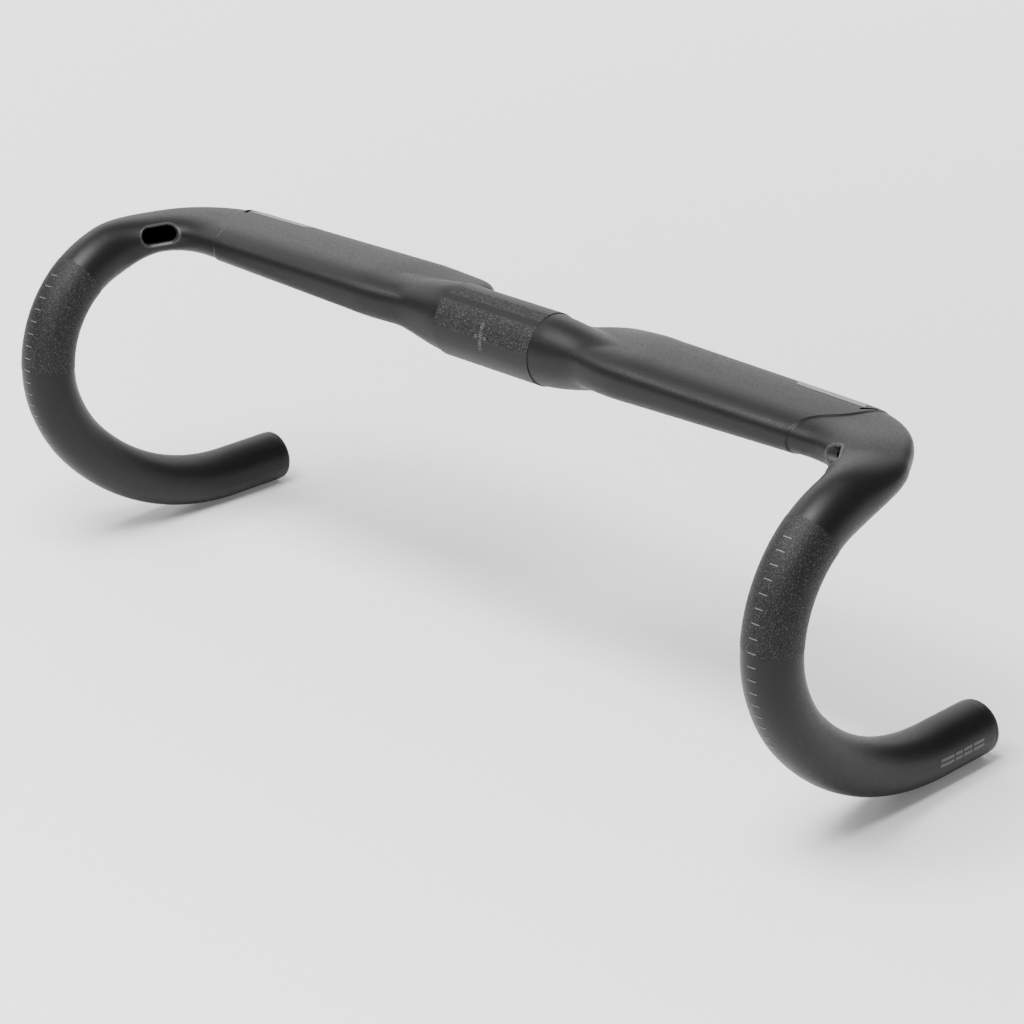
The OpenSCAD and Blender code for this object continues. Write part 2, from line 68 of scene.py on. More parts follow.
# flat top: tail is the reach to the rear, nose the reach to the front, from the section's centre
WING_HALF = 174.2
TAIL_INNER = 29.8
TAIL_OUTER = 26.2
TAIL_START = 33.3
TAIL_CORNER = 13.5
TAIL_FLARE = 9.5
FLARE_RUN = 47.0
NOSE_REACH = 17.1
NOSE_FROM = 21.3
CORE_HALF = 10.0
FULL_CHORD_X = 77.5
LIFT_INNER = 2.2
LIFT_OUTER = 3.2
LIFT_FROM = 23.0
LIFT_RUN = 60.8
THICK_INNER = 19.5
THICK_OUTER = 15.6
WING_TILT = math.tan(math.radians(2.2))
TILT_INNER = math.tan(math.radians(-3))
TILT_EASE = 10.0
TILT_FROM = 38.9
TILT_RUN = 33.4
BARREL_FADE = (24.0, 76.8)
BARREL_END = 0.85
FILLET = 6.0
FILLET_LEAST = 0.01
SECTION_POWER = 2.7

# corner, from the flat top to the hook
CORNER_POWER = 2.0
CORNER_ROUND_BY = 0.8
CORNER_OUT = 26.8
CORNER_IN = 20.8
CORNER_NOSE = 14.7
CORNER_TAIL = 16.0
CORNER_HALF_T = 8.3
CORNER_SPLIT = 0.54
CORNER_RUN = 3 * CORNER_OUT
STATION_END = WING_HALF + CORNER_RUN

# step down for the tape
STEP_AT = 164.5
STEP_SWEEP = 15.0
STEP_RUN = 40.0
STEP_W = 1.4
SWEEP_RUN = 60.0
SWEEP_SHAPE = 0.8
TAPE_STEP = 0.5

# hook
WALL = 3.0
TUBE_R = 11.9
BORE_R = 10.0
HALF_W = 211.0
HOOK_START = 43.0
HOOK_HEIGHT = -3.8
RAMP_ANGLE = math.radians(20.7)
RAMP_RUN = 2.6
BENDS = [(49.3, math.radians(89.3)), (71.9, math.radians(24.1)), (119.7, math.radians(45.9))]
END_RUN = 28.9
RIM_ROUND = 0.5
RIM_BEVEL = 0.2
LEVER_BAND = (math.radians(15.5), math.radians(68))

# cable ports, each cut from below its surface to above it
PORT_T = 0.57
PORT_ANGLE = math.radians(169)
PORT_LONG = 17.5
PORT_WIDE = 9.0
PORT_DEPTH = 4.4
PORT_CUT = (-7, 4)
PORT_WALL = 0.8
EXIT_PLACE = (70.0, 3.0, LIFT_INNER - THICK_INNER / 2)
EXIT_LONG = 16.0
EXIT_WIDE = 8.0
EXIT_CUT = (-6, 4)

# slot in the top of each corner
SLOT_PLACE = (179.0, 16.3, 10.2)
SLOT_TURN = math.radians(60)
SLOT_LONG = 8.0
SLOT_WIDE = 1.8
SLOT_CUT = (-1.0, 2)

# print along the trailing edge
DECAL_ANGLES = (math.radians(12), math.radians(24))
DECAL_FROM = (138.0, 142.5)
DECAL_TO = (173.5, 176.5)
DECAL_LIFT = 0.08

# how finely the skins are drawn: points round a ring, and the spacing or number of rings
WING_COUNT = 144
HOOK_COUNT = 96
BAND_COUNT = 160
CAVITY_COUNT = 48
CENTRE_TO = 22
CENTRE_SPACING = 4.0
BLEND_TO = 90
BLEND_SPACING = 0.75
FLAT_SPACING = 2.0
STEP_SPACING = 0.15
TAPE_SPACING = 1.25
CAVITY_SPACING = 6.0
RAMP_STEPS = 3
END_STEPS = 8
RIM_STEPS = 4
LEVER_STEPS = 40
DECAL_STEPS = 35
DECAL_ACROSS = 6
SMOOTH_LIMIT = math.radians(35)

SIDES = {"left": 1, "right": -1}


# ---------------------------------------------------------------- the bar's surface
def mix(a, b, t):
    return a + (b - a) * t


def ease(t):
    u = np.clip(t, 0, 1)
    return u * u * (3 - 2 * u)


def unit(v):
    return v / np.linalg.norm(v, axis=-1, keepdims=True)


RAMP_START = np.array([HALF_W, -HOOK_START, HOOK_HEIGHT])
RAMP_DIR = np.array([0, -math.cos(RAMP_ANGLE), -math.sin(RAMP_ANGLE)])
CORNER = [
    np.array([WING_HALF, 0, LIFT_OUTER]),
    np.array([WING_HALF + CORNER_OUT, 0, LIFT_OUTER]),
    RAMP_START - CORNER_IN * RAMP_DIR,
    RAMP_START,
]


def corner_point(t):
    """Points of the corner's centre line, for an array of places from 0 to 1."""
    t = np.asarray(t)[..., None]
    a, b, c, d = CORNER
    return (1 - t) ** 3 * a + 3 * (1 - t) ** 2 * t * b + 3 * (1 - t) * t * t * c + t ** 3 * d


def corner_dir(t):
    t = np.asarray(t)[..., None]
    a, b, c, d = CORNER
    return unit((1 - t) ** 2 * (b - a) + 2 * (1 - t) * t * (c - b) + t * t * (d - c))


def section_radius(nose, tail, high, power, ang):
    """Distance from the section's centre to its outline, in direction ang from the tail."""
    half = np.where(np.cos(ang) > 0, tail, nose)
    return (np.abs(np.cos(ang) / half) ** power + np.abs(np.sin(ang) / high) ** power) ** (-1 / power)


def wing_share(s):
    return np.clip((s - FULL_CHORD_X) / (WING_HALF - FULL_CHORD_X), 0, 1)


def wing_lift(s):
    return mix(LIFT_INNER, LIFT_OUTER, wing_share(s)) * ease((s - LIFT_FROM) / LIFT_RUN)


def wing_point(s, ang, inset):
    """Surface points of the clamp barrel and the flat top."""
    share = wing_share(s)
    nose = mix(CORE_HALF, NOSE_REACH, ease((s - NOSE_FROM) / (FULL_CHORD_X - NOSE_FROM)))
    grown = np.clip((s - TAIL_START) / TAIL_CORNER, 0, 1)
    reach = mix(TAIL_INNER, TAIL_OUTER, share) + TAIL_FLARE * (1 - ease((s - TAIL_START) / FLARE_RUN))
    tail = mix(CORE_HALF, reach, np.sqrt(1 - (1 - grown) ** 2))
    high = mix(THICK_INNER, THICK_OUTER, share) / 2
    tilt = mix(TILT_INNER, WING_TILT, ease((s - TILT_FROM) / TILT_RUN)) * ease((s - LIFT_FROM) / TILT_EASE)
    lift = wing_lift(s)
    flat = section_radius(nose - inset, tail - inset, high - inset, SECTION_POWER, ang)
    fade = ease((s - BARREL_FADE[0]) / (BARREL_FADE[1] - BARREL_FADE[0]))
    barrel = mix(CLAMP_R - SHELL_GAP, BARREL_END * high, fade) - inset
    rise = lift * (1 - fade)
    round_part = np.sqrt(np.maximum(barrel ** 2 - (rise * np.cos(ang)) ** 2, 0)) - rise * np.sin(ang)
    fillet = np.maximum(FILLET * (1 - fade), FILLET_LEAST)
    blend = np.maximum(fillet - np.abs(flat - round_part), 0) ** 2 / (4 * fillet)
    radius = np.maximum(flat, round_part) + blend
    y = radius * np.cos(ang)
    return np.stack([s, y, lift + tilt * y + radius * np.sin(ang)], -1)


def corner_surface(s, ang, inset):
    """Surface points of a corner."""
    t = np.clip((s - WING_HALF) / CORNER_RUN, 0, 1)
    way = corner_dir(t)
    up = unit(np.array([0, 0, 1.0]) - way[..., 2:] * way)
    across = np.cross(up, way)
    a = ease(t / CORNER_SPLIT)
    b = ease((t - CORNER_SPLIT) / (1 - CORNER_SPLIT))
    nose = mix(mix(NOSE_REACH, CORNER_NOSE, a), TUBE_R, b) - inset
    tail = mix(mix(TAIL_OUTER, CORNER_TAIL, a), TUBE_R, b) - inset
    high = mix(mix(THICK_OUTER / 2, CORNER_HALF_T, a), TUBE_R, b) - inset
    power = mix(SECTION_POWER, CORNER_POWER, ease(t / CORNER_ROUND_BY))
    radius = section_radius(nose, tail, high, power, ang)
    y = radius * np.cos(ang)
    rise = radius * np.sin(ang) + WING_TILT * (1 - a) * y
    return corner_point(t) + y[..., None] * across + rise[..., None] * up


def bar_point(s, ang, inset):
    """Points of the left half's surface, for arrays of station, direction and inset."""
    s, ang, inset = np.broadcast_arrays(*(np.asarray(v, float) for v in (s, ang, inset)))
    on_wing = (s < WING_HALF)[..., None]
    return np.where(on_wing, wing_point(s, ang, inset), corner_surface(s, ang, inset))


def bar_rings(stations, insets, count):
    """Rings round the left half; the grid lines near the step sweep outboard from nose to tail."""
    ang = 2 * np.pi * np.arange(count) / count
    s = np.asarray(stations, float)[:, None]
    sweep = STEP_SWEEP * ((1 + np.cos(ang)) / 2) ** SWEEP_SHAPE
    weight = ease(1 - np.abs(s - STEP_AT) / SWEEP_RUN)
    swept = np.minimum(s + sweep * weight, STATION_END)
    return list(bar_point(swept, ang[None], np.asarray(insets, float)[:, None]))


# ---------------------------------------------------------------- mesh helpers
def add_object(name, verts, faces, body, node=None):
    """A piece from points in millimetres."""
    mesh = bpy.data.meshes.new(name)
    mesh.from_pydata([tuple(v) for v in np.asarray(verts) * MM], [], faces)
    mesh.polygons.foreach_set("use_smooth", [True] * len(mesh.polygons))
    mesh.update()
    mesh.set_sharp_from_angle(angle=SMOOTH_LIMIT)
    piece = bpy.data.objects.new(name, mesh)
    bpy.context.scene.collection.objects.link(piece)
    if body:
        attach(piece, body)
    if node:
        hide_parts(node)
    return piece


def loft(rings, closed=True, caps=False):
    """Points and faces of a skin through rings of equal length."""
    count = len(rings[0])
    verts = np.concatenate(rings)
    faces = []
    last = count if closed else count - 1
    for i in range(len(rings) - 1):
        for j in range(last):
            k = (j + 1) % count
            a = i * count
            b = a + count
            faces.append((a + j, a + k, b + k, b + j))
    if caps:
        faces.append(tuple(reversed(range(count))))
        faces.append(tuple(range(len(verts) - count, len(verts))))
    return verts, faces


def on_side(rings, side):
    """Rings drawn for the left half, or their mirror image, turned so that faces still point outwards."""
    if SIDES[side] > 0:
        return rings
    return [np.roll(r[::-1] * [-1, 1, 1], 1, axis=0) for r in rings]


def both_halves(half):
    """Rings from the right end to the left end, from those of the left half."""
    return [r * [-1, 1, 1] for r in half[:0:-1]] + half


def cut(piece, cutter):
    """Cuts one object out of another and removes the cutter."""
    tool = piece.modifiers.new("cut", "BOOLEAN")
    tool.operation = "DIFFERENCE"
    tool.solver = "EXACT"
    tool.object = cutter
    graph = bpy.context.evaluated_depsgraph_get()
    done = bpy.data.meshes.new_from_object(piece.evaluated_get(graph))
    piece.modifiers.clear()
    piece.data = done
    bpy.data.objects.remove(cutter)


def edge_line(band, strips, count):
    """Turns whole strips of a band's faces over to its second material."""
    for strip in strips:
        for i in range(strip * count, (strip + 1) * count):
            band.data.polygons[i].material_index = 1


# ---------------------------------------------------------------- hooks
def along_line(place, run):
    forward, height, slope = place
    return (forward + run * math.cos(slope), height - run * math.sin(slope), slope)


def along_bend(place, radius, turn):
    forward, height, slope = place
    end = slope + turn
    return (
        forward + radius * (math.sin(end) - math.sin(slope)),
        height + radius * (math.cos(end) - math.cos(slope)),
        end,
    )


def hook_places(step=math.radians(1.5)):
    """Places [forward, height, slope] down the hook, from the ramp to the bar's end."""
    places = [(HOOK_START, HOOK_HEIGHT, RAMP_ANGLE)]
    places += [along_line(places[0], RAMP_RUN * (i + 1) / RAMP_STEPS) for i in range(RAMP_STEPS)]
    for radius, turn in BENDS:
        start = places[-1]
        count = math.ceil(turn / step)
        places += [along_bend(start, radius, turn * (i + 1) / count) for i in range(count)]
    start = places[-1]
    places += [along_line(start, END_RUN * (i + 1) / END_STEPS) for i in range(END_STEPS)]
    return places


def hook_ring(place, radius, shift=0.0):
    """A ring round the left hook at a place, moved along the hook by shift."""
    forward, height, slope = place
    centre = np.array([HALF_W, -forward, height])
    way = np.array([0, -math.cos(slope), -math.sin(slope)])
    up = np.array([0, -math.sin(slope), math.cos(slope)])
    across = np.array([1.0, 0, 0])
    a = (2 * np.pi * np.arange(HOOK_COUNT) / HOOK_COUNT)[:, None]
    return centre + shift * way + radius * (np.cos(a) * across + np.sin(a) * up)


def build_drop(side):
    """A hook with its wall, its bore and a rounded rim at the open end."""
    places = hook_places()
    rings = [hook_ring(p, TUBE_R) for p in places[:-1]]
    end = places[-1]
    for i in range(RIM_STEPS + 1):
        a = math.pi / 2 * i / RIM_STEPS
        radius = TUBE_R - RIM_ROUND * (1 - math.cos(a))
        rings.append(hook_ring(end, radius, -RIM_ROUND * (1 - math.sin(a))))
    rings.append(hook_ring(end, BORE_R + RIM_BEVEL))
    rings.append(hook_ring(end, BORE_R, -RIM_BEVEL))
    rings += [hook_ring(p, BORE_R) for p in reversed(places[:-1])]
    rings.append(rings[0])
    verts, faces = loft(on_side(rings, side))
    return add_object(side + "_drop_skin", verts, faces, "bar", side + "_drop")


def build_lever_band(side):
    """The gritty sleeve on the first bend, thin edges included."""
    low, high = LEVER_BAND
    start = along_line((HOOK_START, HOOK_HEIGHT, RAMP_ANGLE), RAMP_RUN)
    line_from = high - EDGE_LINE / BENDS[0][0]
    turns = [(low, SKIN_GAP)]
    turns += [(mix(low, line_from, i / LEVER_STEPS), BAND_T) for i in range(LEVER_STEPS + 1)]
    turns += [(high, BAND_T), (high, SKIN_GAP)]
    rings = [hook_ring(along_bend(start, BENDS[0][0], turn), TUBE_R + lift) for turn, lift in turns]
    verts, faces = loft(on_side(rings, side))
    band = add_object(side + "_lever_band_skin", verts, faces, "bar", side + "_lever_grip_band")
    edge_line(band, [LEVER_STEPS + 1], HOOK_COUNT)
    return band


# ---------------------------------------------------------------- wing section
def wing_stations():
    """Stations from the centre to the ramp, and how far each ring is let in for tape."""
    stations = np.concatenate([
        np.arange(0, CENTRE_TO, CENTRE_SPACING),
        np.arange(CENTRE_TO, BLEND_TO, BLEND_SPACING),
        np.arange(BLEND_TO, STEP_AT - 0.5, FLAT_SPACING),
        STEP_AT + np.arange(-0.3, STEP_W + 0.2, STEP_SPACING),
        np.arange(STEP_AT + STEP_W + 1, STATION_END - 0.6, TAPE_SPACING),
        [STATION_END - 0.5, STATION_END],
    ])
    let_in = ease((stations - STEP_AT) / STEP_W) * (1 - ease((stations - STEP_AT) / STEP_RUN))
    return stations, TAPE_STEP * let_in


def oval_outline(long_way, wide_way, along, aside, steps=24):
    """Points round a capsule shape, centred on the origin."""
    points = []
    radius = wide_way / 2
    for end in (1, -1):
        for i in range(steps + 1):
            a = math.pi * (i / steps - 0.5) + (0 if end > 0 else math.pi)
            x = end * (long_way - wide_way) / 2 + radius * math.cos(a)
            points.append(x * along + radius * math.sin(a) * aside)
    return np.array(points)


def oval_cutter(name, centre, along, out, size, depth):
    """A capsule prism: long along `along`, its axis along `out`."""
    outline = oval_outline(*size, along, np.cross(out, along))
    verts, faces = loft([centre + outline + out * h for h in depth], caps=True)
    return add_object(name, verts, faces, None)


def port_frame():
    """Centre, long direction and outward direction of the left entry port."""
    point = corner_surface(np.float64(WING_HALF + PORT_T * CORNER_RUN), np.float64(PORT_ANGLE), 0.0)
    along = corner_dir(PORT_T)
    out = point - corner_point(PORT_T)
    return point, along, unit(out - np.dot(out, along) * along)


def onto_corner(points, along, aside):
    """Moves points near the port onto the surface, straight along the port's axis, by Newton's method."""
    s = np.full(len(points), WING_HALF + PORT_T * CORNER_RUN)
    ang = np.full(len(points), PORT_ANGLE)
    rounds = 12
    small = 0.01
    most_s = 3
    most_ang = 0.2
    for _ in range(rounds):
        here = corner_surface(s, ang, 0.0)
        by_s = (corner_surface(s + small, ang, 0.0) - here) / small
        by_a = (corner_surface(s, ang + small, 0.0) - here) / small
        gap = points - here
        a, b = by_s @ along, by_a @ along
        c, d = by_s @ aside, by_a @ aside
        e, f = gap @ along, gap @ aside
        scale = a * d - b * c
        s = s + np.clip((d * e - b * f) / scale, -most_s, most_s)
        ang = ang + np.clip((a * f - c * e) / scale, -most_ang, most_ang)
    return corner_surface(s, ang, 0.0)


def build_grommet(side):
    """A thin lip that follows the surface round an entry port, and its sleeve going in.

    The rings run from the lip's outer edge over its crest, down inside the sleeve and up its outside.
    """
    point, along, out = port_frame()
    aside = np.cross(out, along)

    def edge(grow):
        outline = oval_outline(PORT_LONG + 2 * grow, PORT_WIDE + 2 * grow, along, aside)
        return onto_corner(point + outline, along, aside)

    rim = edge(-0.05)
    inner = rim + oval_outline(PORT_LONG - 2 * PORT_WALL, PORT_WIDE - 2 * PORT_WALL, along, aside)
    inner = inner - oval_outline(PORT_LONG, PORT_WIDE, along, aside)
    rings = [edge(0.55) - 0.05 * out, edge(0.4) + 0.16 * out, rim + 0.2 * out,
             mix(rim, inner, 0.5) + 0.05 * out, inner - 0.5 * out, inner - PORT_DEPTH * out,
             rim - PORT_DEPTH * out, rim - 0.3 * out]
    verts, faces = loft(on_side(rings, side))
    return add_object(side + "_entry_lip", verts, faces, "bar", side + "_entry_grommet")


def build_wing():
    """The clamp barrel, flat tops and corners as one hollow moulding with its ports and tuck slots."""
    half = bar_rings(*wing_stations(), WING_COUNT)
    verts, faces = loft(both_halves(half), caps=True)
    wing = add_object("wing_section_skin", verts, faces, "bar", "wing_section")
    inner = np.arange(0, STATION_END - WALL, CAVITY_SPACING)
    verts, faces = loft(both_halves(bar_rings(inner, inner * 0 + WALL, CAVITY_COUNT)), caps=True)
    cut(wing, add_object("cavity", verts, faces, None))
    straight_up = np.array([0, 0, 1.0])
    slot_way = np.array([math.cos(SLOT_TURN), math.sin(SLOT_TURN), 0])
    holes = [
        (*port_frame(), (PORT_LONG, PORT_WIDE), PORT_CUT),
        (np.array(EXIT_PLACE), np.array([1.0, 0, 0]), -straight_up, (EXIT_LONG, EXIT_WIDE), EXIT_CUT),
        (np.array(SLOT_PLACE), slot_way, straight_up, (SLOT_LONG, SLOT_WIDE), SLOT_CUT),
    ]
    for sign in SIDES.values():
        flip = np.array([sign, 1, 1])
        for centre, along, out, size, depth in holes:
            cut(wing, oval_cutter("hole", centre * flip, along * flip, out * flip, size, depth))
    wing.data.set_sharp_from_angle(angle=SMOOTH_LIMIT)
    mark_ribs(wing)
    return wing


# fine ribs under the nose: how far along they run, where their middle line shifts, and its direction
RIB_RUN = (42.0, 166.0)
RIB_SHIFT = (46.0, 66.0)
RIB_ANGLES = (math.radians(153), math.radians(164))
RIB_HALF = math.radians(7)
RIB_FLANK = 1.5
RIB_FADES = (10, 6)


def mark_ribs(wing):
    """Stores where the fine moulded ribs run, as a value on each point."""
    places = np.empty(3 * len(wing.data.vertices))
    wing.data.vertices.foreach_get("co", places)
    x, y, z = places.reshape(-1, 3).T / MM
    s = np.abs(x)
    ang = np.arctan2(z - wing_lift(s) - WING_TILT * y, y)
    middle = mix(*RIB_ANGLES, np.clip((s - RIB_SHIFT[0]) / RIB_SHIFT[1], 0, 1))
    across = ease(RIB_FLANK * (1 - np.abs(ang - middle) / RIB_HALF))
    run = ease((s - RIB_RUN[0]) / RIB_FADES[0]) * ease((RIB_RUN[1] - s) / RIB_FADES[1])
    layer = wing.data.attributes.new("rib_zone", "FLOAT", "POINT")
    layer.data.foreach_set("value", across * run)


# ---------------------------------------------------------------- clamp band and prints
def build_clamp_band():
    """The gritty sleeve over the stem clamp zone."""
    a = 2 * np.pi * np.arange(BAND_COUNT) / BAND_COUNT
    line = BAND_HALF - EDGE_LINE
    profile = [(-BAND_HALF, CLAMP_R - BAND_T), (-BAND_HALF, CLAMP_R), (-line, CLAMP_R), (line, CLAMP_R),
               (BAND_HALF, CLAMP_R), (BAND_HALF, CLAMP_R - BAND_T)]
    rings = [np.stack([x + 0 * a, r * np.cos(a), r * np.sin(a)], -1) for x, r in profile]
    verts, faces = loft(rings)
    band = add_object("clamp_band_skin", verts, faces, "bar", "clamp_grip_band")
    edge_line(band, [1, 3], BAND_COUNT)
    return band


def build_decal(side):
    """The pale strip printed along the trailing edge, with slanted ends."""
    across = np.arange(DECAL_ACROSS + 1) / DECAL_ACROSS
    start = mix(*DECAL_FROM, across)
    end = mix(*DECAL_TO, across)
    ang = mix(*DECAL_ANGLES, across)
    rings = [bar_point(mix(start, end, i / DECAL_STEPS), ang, -DECAL_LIFT) for i in range(DECAL_STEPS + 1)]
    if SIDES[side] < 0:
        rings = [r[::-1] * [-1, 1, 1] for r in rings]
    verts, faces = loft(rings, closed=False)
    return add_object(side + "_decal_skin", verts, faces, "bar", side + "_edge_decal")


# ---------------------------------------------------------------- materials
class Shader:
    """A small helper that builds a node material."""

    def __init__(self, name, colour, rough):
        self.material = bpy.data.materials.new(name)
        self.material.use_nodes = True
        self.tree = self.material.node_tree
        self.surface = self.tree.nodes["Principled BSDF"]
        self.surface.inputs["Base Color"].default_value = (*colour, 1)
        self.surface.inputs["Roughness"].default_value = rough
        self.place = self.tree.nodes.new("ShaderNodeTexCoord").outputs["Object"]
        self.normal = None

    def axes(self):
        """The place's X, Y and Z."""
        split = self.tree.nodes.new("ShaderNodeSeparateXYZ")
        self.tree.links.new(self.place, split.inputs[0])
        return split.outputs["X"], split.outputs["Y"], split.outputs["Z"]

    def noise(self, scale, detail=3.0, rough=0.55):
        node = self.tree.nodes.new("ShaderNodeTexNoise")
        node.inputs["Scale"].default_value = scale
        node.inputs["Detail"].default_value = detail
        node.inputs["Roughness"].default_value = rough
        self.tree.links.new(self.place, node.inputs["Vector"])
        return node.outputs["Fac"]

    def math(self, operation, a, b=0.0):
        node = self.tree.nodes.new("ShaderNodeMath")
        node.operation = operation
        for socket, value in zip(node.inputs, (a, b)):
            if isinstance(value, (int, float)):
                socket.default_value = value
            else:
                self.tree.links.new(value, socket)
        return node.outputs[0]

    def spread(self, value, low, high, from_low=0.3, from_high=0.7):
        node = self.tree.nodes.new("ShaderNodeMapRange")
        node.inputs["From Min"].default_value = from_low
        node.inputs["From Max"].default_value = from_high
        node.inputs["To Min"].default_value = low
        node.inputs["To Max"].default_value = high
        self.tree.links.new(value, node.inputs["Value"])
        return node.outputs[0]

    def tint(self, value, low, high):
        """Base colour runs from low to high as value goes from 0 to 1."""
        node = self.tree.nodes.new("ShaderNodeMix")
        node.data_type = "RGBA"
        self.tree.links.new(value, node.inputs["Factor"])
        node.inputs["A"].default_value = (*low, 1)
        node.inputs["B"].default_value = (*high, 1)
        self.tree.links.new(node.outputs["Result"], self.surface.inputs["Base Color"])

    def set_gloss(self, value):
        self.surface.inputs["Specular IOR Level"].default_value = value

    def set_metal(self):
        self.surface.inputs["Metallic"].default_value = 1.0

    def set_rough(self, value):
        self.tree.links.new(value, self.surface.inputs["Roughness"])

    def bump(self, height, distance, strength=1.0):
        node = self.tree.nodes.new("ShaderNodeBump")
        node.inputs["Strength"].default_value = strength
        node.inputs["Distance"].default_value = distance
        self.tree.links.new(height, node.inputs["Height"])
        if self.normal:
            self.tree.links.new(self.normal, node.inputs["Normal"])
        self.normal = node.outputs["Normal"]
        self.tree.links.new(self.normal, self.surface.inputs["Normal"])


# shader sizes, in metres
RIB_PITCH = 0.0010
RIB_HEIGHT = 0.000035
RIB_SLANT = 0.35
SATIN = 0.22

# gritty zones of the clamp band, whose pale specks are painted glints of the grit, placed by direction
# round the band where it shows against darker reflections: middle and half width, degrees from the top
# towards the front
GRIT_GLINT_ZONES = [(17.5, 10.5), (63.5, 23)]
ZONE_FADE = 3.0
SPECK_DARK = (0.004, 0.004, 0.0041)
SPECK_PALE = (0.075, 0.075, 0.074)
GRAIN_HEIGHT = 0.0003


def carbon_material():
    m = Shader("satin_carbon", (0.005, 0.005, 0.0051), 0.42)
    m.set_gloss(SATIN)
    m.tint(m.noise(60, 4), (0.0042, 0.0042, 0.0043), (0.006, 0.006, 0.0061))
    m.set_rough(m.spread(m.noise(900, 3), 0.38, 0.48))
    m.bump(m.noise(3500, 2), 0.00004, 0.5)
    x, y, _ = m.axes()
    zone = m.tree.nodes.new("ShaderNodeAttribute")
    zone.attribute_name = "rib_zone"
    slant = m.math("ADD", x, m.math("MULTIPLY", y, RIB_SLANT))
    wave = m.math("SINE", m.math("MULTIPLY", slant, 2 * math.pi / RIB_PITCH))
    m.bump(m.math("MULTIPLY", wave, zone.outputs["Fac"]), RIB_HEIGHT, 1.0)
    return m.material


def clamp_grit_glint_material():
    """Grit in two zones round the clamp band, plain satin between them; the zones are set by direction
    round the band, and their pale specks are painted glints, a painted highlight on the grit.
    """
    m = Shader("clamp_grit_and_glint", (0.01, 0.01, 0.0102), 0.42)
    m.set_gloss(SATIN)
    _, y, z = m.axes()
    turn = m.math("MULTIPLY", m.math("ARCTAN2", m.math("MULTIPLY", y, -1.0), z), 180 / math.pi)
    edge = m.math("MULTIPLY", m.noise(260, 2), ZONE_FADE)
    zone = None
    for middle, half in GRIT_GLINT_ZONES:
        away = m.math("ABSOLUTE", m.math("SUBTRACT", turn, float(middle)))
        part = m.spread(m.math("ADD", away, edge), 1, 0, half, half + ZONE_FADE)
        zone = part if zone is None else m.math("MAXIMUM", zone, part)
    grain = m.noise(2200, 2, 0.7)
    # pale specks only inside the zones: painted glints of the grit, placed by how light falls round the
    # band
    grit_glint = m.math("MULTIPLY", m.spread(grain, 0, 1, 0.52, 0.72), zone)
    m.tint(grit_glint, SPECK_DARK, SPECK_PALE)
    m.set_rough(m.spread(zone, 0.42, 0.62, 0, 1))
    m.bump(m.math("MULTIPLY", grain, zone), GRAIN_HEIGHT, 0.7)
    return m.material


def grit_material():
    """Grit all over, as on the lever bands."""
    m = Shader("lever_grit", (0.01, 0.01, 0.0102), 0.55)
    m.set_gloss(SATIN)
    grain = m.noise(2200, 2, 0.7)
    m.tint(m.spread(grain, 0, 1, 0.54, 0.74), SPECK_DARK, SPECK_PALE)
    m.set_rough(m.spread(grain, 0.6, 0.42))
    m.bump(grain, GRAIN_HEIGHT, 0.7)
    return m.material


def print_material(name, low, high):
    m = Shader(name, low, 0.5)
    m.tint(m.noise(700, 3), low, high)
    m.bump(m.noise(3500, 2), 0.00003, 0.4)
    return m.material


def plastic_material():
    m = Shader("moulded_plastic", (0.01, 0.01, 0.01), 0.5)
    m.tint(m.noise(90, 3), (0.008, 0.008, 0.0085), (0.014, 0.014, 0.0145))
    m.set_rough(m.spread(m.noise(1200, 3), 0.42, 0.58))
    m.bump(m.noise(2500, 2), 0.00005, 0.5)
    return m.material


def rubber_material():
    m = Shader("plug_rubber", (0.022, 0.022, 0.022), 0.75)
    m.tint(m.noise(150, 4), (0.018, 0.018, 0.018), (0.032, 0.032, 0.031))
    m.bump(m.noise(1800, 4), 0.00008, 0.6)
    return m.material


def alloy_material():
    m = Shader("turned_alloy", (0.6, 0.6, 0.62), 0.32)
    m.set_metal()
    m.set_rough(m.spread(m.noise(1500, 3), 0.25, 0.42))
    m.tint(m.noise(200, 3), (0.5, 0.5, 0.52), (0.66, 0.66, 0.67))
    return m.material


def steel_material():
    m = Shader("black_oxide_steel", (0.12, 0.12, 0.125), 0.38)
    m.set_metal()
    m.set_rough(m.spread(m.noise(1500, 3), 0.3, 0.5))
    m.tint(m.noise(250, 3), (0.09, 0.09, 0.095), (0.17, 0.17, 0.175))
    return m.material


def paint(obj, *materials):
    """Gives a piece its material, and a band the second one for its edge lines."""
    obj.data.materials.clear()
    for material in materials:
        obj.data.materials.append(material)


# ---------------------------------------------------------------- build
LOOK = {
    "carbon": carbon_material(),
    "grit": grit_material(),
    "print_grey": print_material("pale_print", (0.075, 0.075, 0.073), (0.1, 0.1, 0.097)),
    "dark_plastic": plastic_material(),
    "rubber": rubber_material(),
    "wedge_alloy": alloy_material(),
    "screw_steel": steel_material(),
}
CLAMP_GRIT_GLINT = clamp_grit_glint_material()
DECAL_PRINT = print_material("edge_print", (0.13, 0.13, 0.128), (0.165, 0.165, 0.162))
EDGE_PRINT = print_material("band_edge", (0.045, 0.045, 0.044), (0.06, 0.06, 0.059))
END_PRINT = print_material("end_print", (0.05, 0.05, 0.049), (0.07, 0.07, 0.068))
SLOT_OF = {p["node"]: p["material_slot"] for p in frame["record"]["subparts"]}

for node, obj in frame["nodes"].items():
    for slot in obj.material_slots:
        slot.material = LOOK[SLOT_OF[node]]
    if node.endswith("_end_print"):
        paint(obj, END_PRINT)

paint(build_wing(), LOOK["carbon"])
paint(build_clamp_band(), CLAMP_GRIT_GLINT, EDGE_PRINT)
for side in SIDES:
    paint(build_drop(side), LOOK["carbon"])
    paint(build_lever_band(side), LOOK["grit"], EDGE_PRINT)
    paint(build_decal(side), DECAL_PRINT)
    paint(build_grommet(side), LOOK["dark_plastic"])


# ---------------------------------------------------------------- floor, light and camera
FLOOR_HALF = 8.0
GLOW_RADIUS = 0.8
GLOW_MOST = 1.8


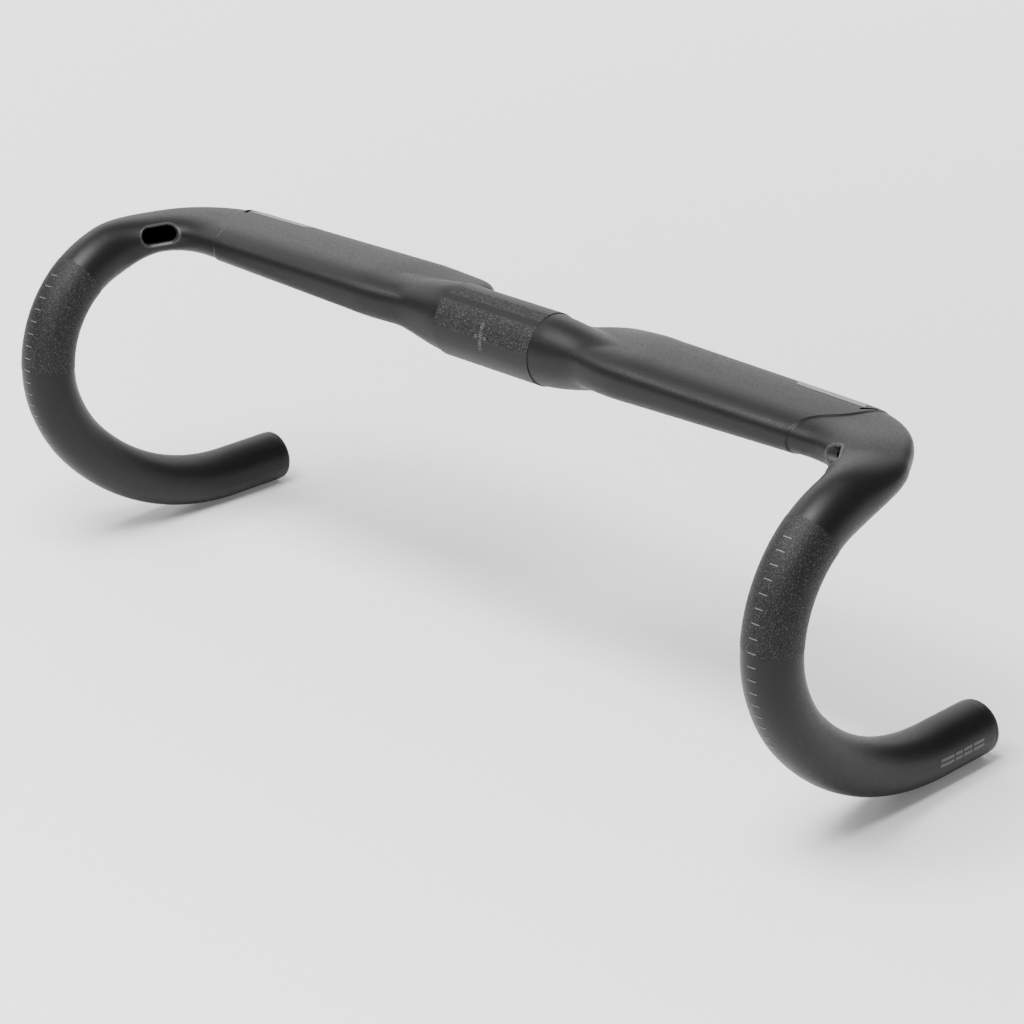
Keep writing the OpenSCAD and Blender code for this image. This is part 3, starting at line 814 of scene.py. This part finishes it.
def build_floor():
    """A pale floor that stays as bright further out, where the lamp reaches it less."""
    low = CAD_BOX[0][2] / MM
    half = FLOOR_HALF / MM
    verts = [(-half, -half, low), (half, -half, low), (half, half, low), (-half, half, low)]
    floor = add_object("floor", verts, [(0, 1, 2, 3)], None)
    m = Shader("pale_floor", (0.85, 0.85, 0.85), 0.9)
    m.set_gloss(0.0)
    m.surface.inputs["Emission Color"].default_value = (1, 1, 1, 1)
    x, y, _ = m.axes()
    square = m.math("ADD", m.math("MULTIPLY", x, x), m.math("MULTIPLY", y, y))
    away = m.math("MULTIPLY", square, 1 / GLOW_RADIUS ** 2)
    share = m.math("DIVIDE", away, m.math("ADD", away, 1.0))
    m.tree.links.new(m.math("MULTIPLY", share, GLOW_MOST), m.surface.inputs["Emission Strength"])
    paint(floor, m.material)


def soft_light(name, place, size, power, target=(0, 0, 0)):
    data = bpy.data.lights.new(name, "AREA")
    data.shape = "RECTANGLE"
    data.size, data.size_y = size
    data.energy = power
    lamp = bpy.data.objects.new(name, data)
    lamp.location = place
    lamp.rotation_euler = (Vector(target) - Vector(place)).to_track_quat("-Z", "Y").to_euler()
    bpy.context.scene.collection.objects.link(lamp)


def build_world(strength):
    world = bpy.data.worlds.new("studio")
    bpy.context.scene.world = world
    world.use_nodes = True
    sky = world.node_tree.nodes["Background"]
    sky.inputs["Color"].default_value = (1, 1, 1, 1)
    sky.inputs["Strength"].default_value = strength


CAMERA_AZIMUTH = math.radians(42.89)
CAMERA_RISE = math.radians(22.94)
CAMERA_ROLL = math.radians(0.96)
CAMERA_AWAY = 1.3645
CAMERA_TARGET = np.array([0.0216, 0, -0.0859])
CAMERA_LENS = 112.6
CAMERA_SHIFT = (-0.0275, 0.0244)


def build_camera():
    az, el, roll = CAMERA_AZIMUTH, CAMERA_RISE, CAMERA_ROLL
    back = np.array([math.sin(az) * math.cos(el), -math.cos(az) * math.cos(el), math.sin(el)])
    right = np.array([math.cos(az), math.sin(az), 0])
    up = np.cross(back, right)
    right_rolled = math.cos(roll) * right + math.sin(roll) * up
    up_rolled = -math.sin(roll) * right + math.cos(roll) * up
    data = bpy.data.cameras.new("camera")
    data.sensor_width = 36
    data.lens = CAMERA_LENS
    data.shift_x, data.shift_y = CAMERA_SHIFT
    data.clip_end = 50
    camera = bpy.data.objects.new("camera", data)
    eye = CAMERA_TARGET + back * CAMERA_AWAY
    rows = [(right_rolled[i], up_rolled[i], back[i], eye[i]) for i in range(3)]
    camera.matrix_world = Matrix(rows + [(0, 0, 0, 1)])
    bpy.context.scene.collection.objects.link(camera)
    bpy.context.scene.camera = camera


build_floor()
build_world(0.22)
soft_light("key", (0, -0.55, 1.13), (0.85, 0.85), 52)
soft_light("left_fill", (-1.6, -0.2, 1.0), (1.2, 1.0), 9)
soft_light("backdrop", (-1.5, 1.7, 1.0), (3.5, 1.6), 36)
build_camera()
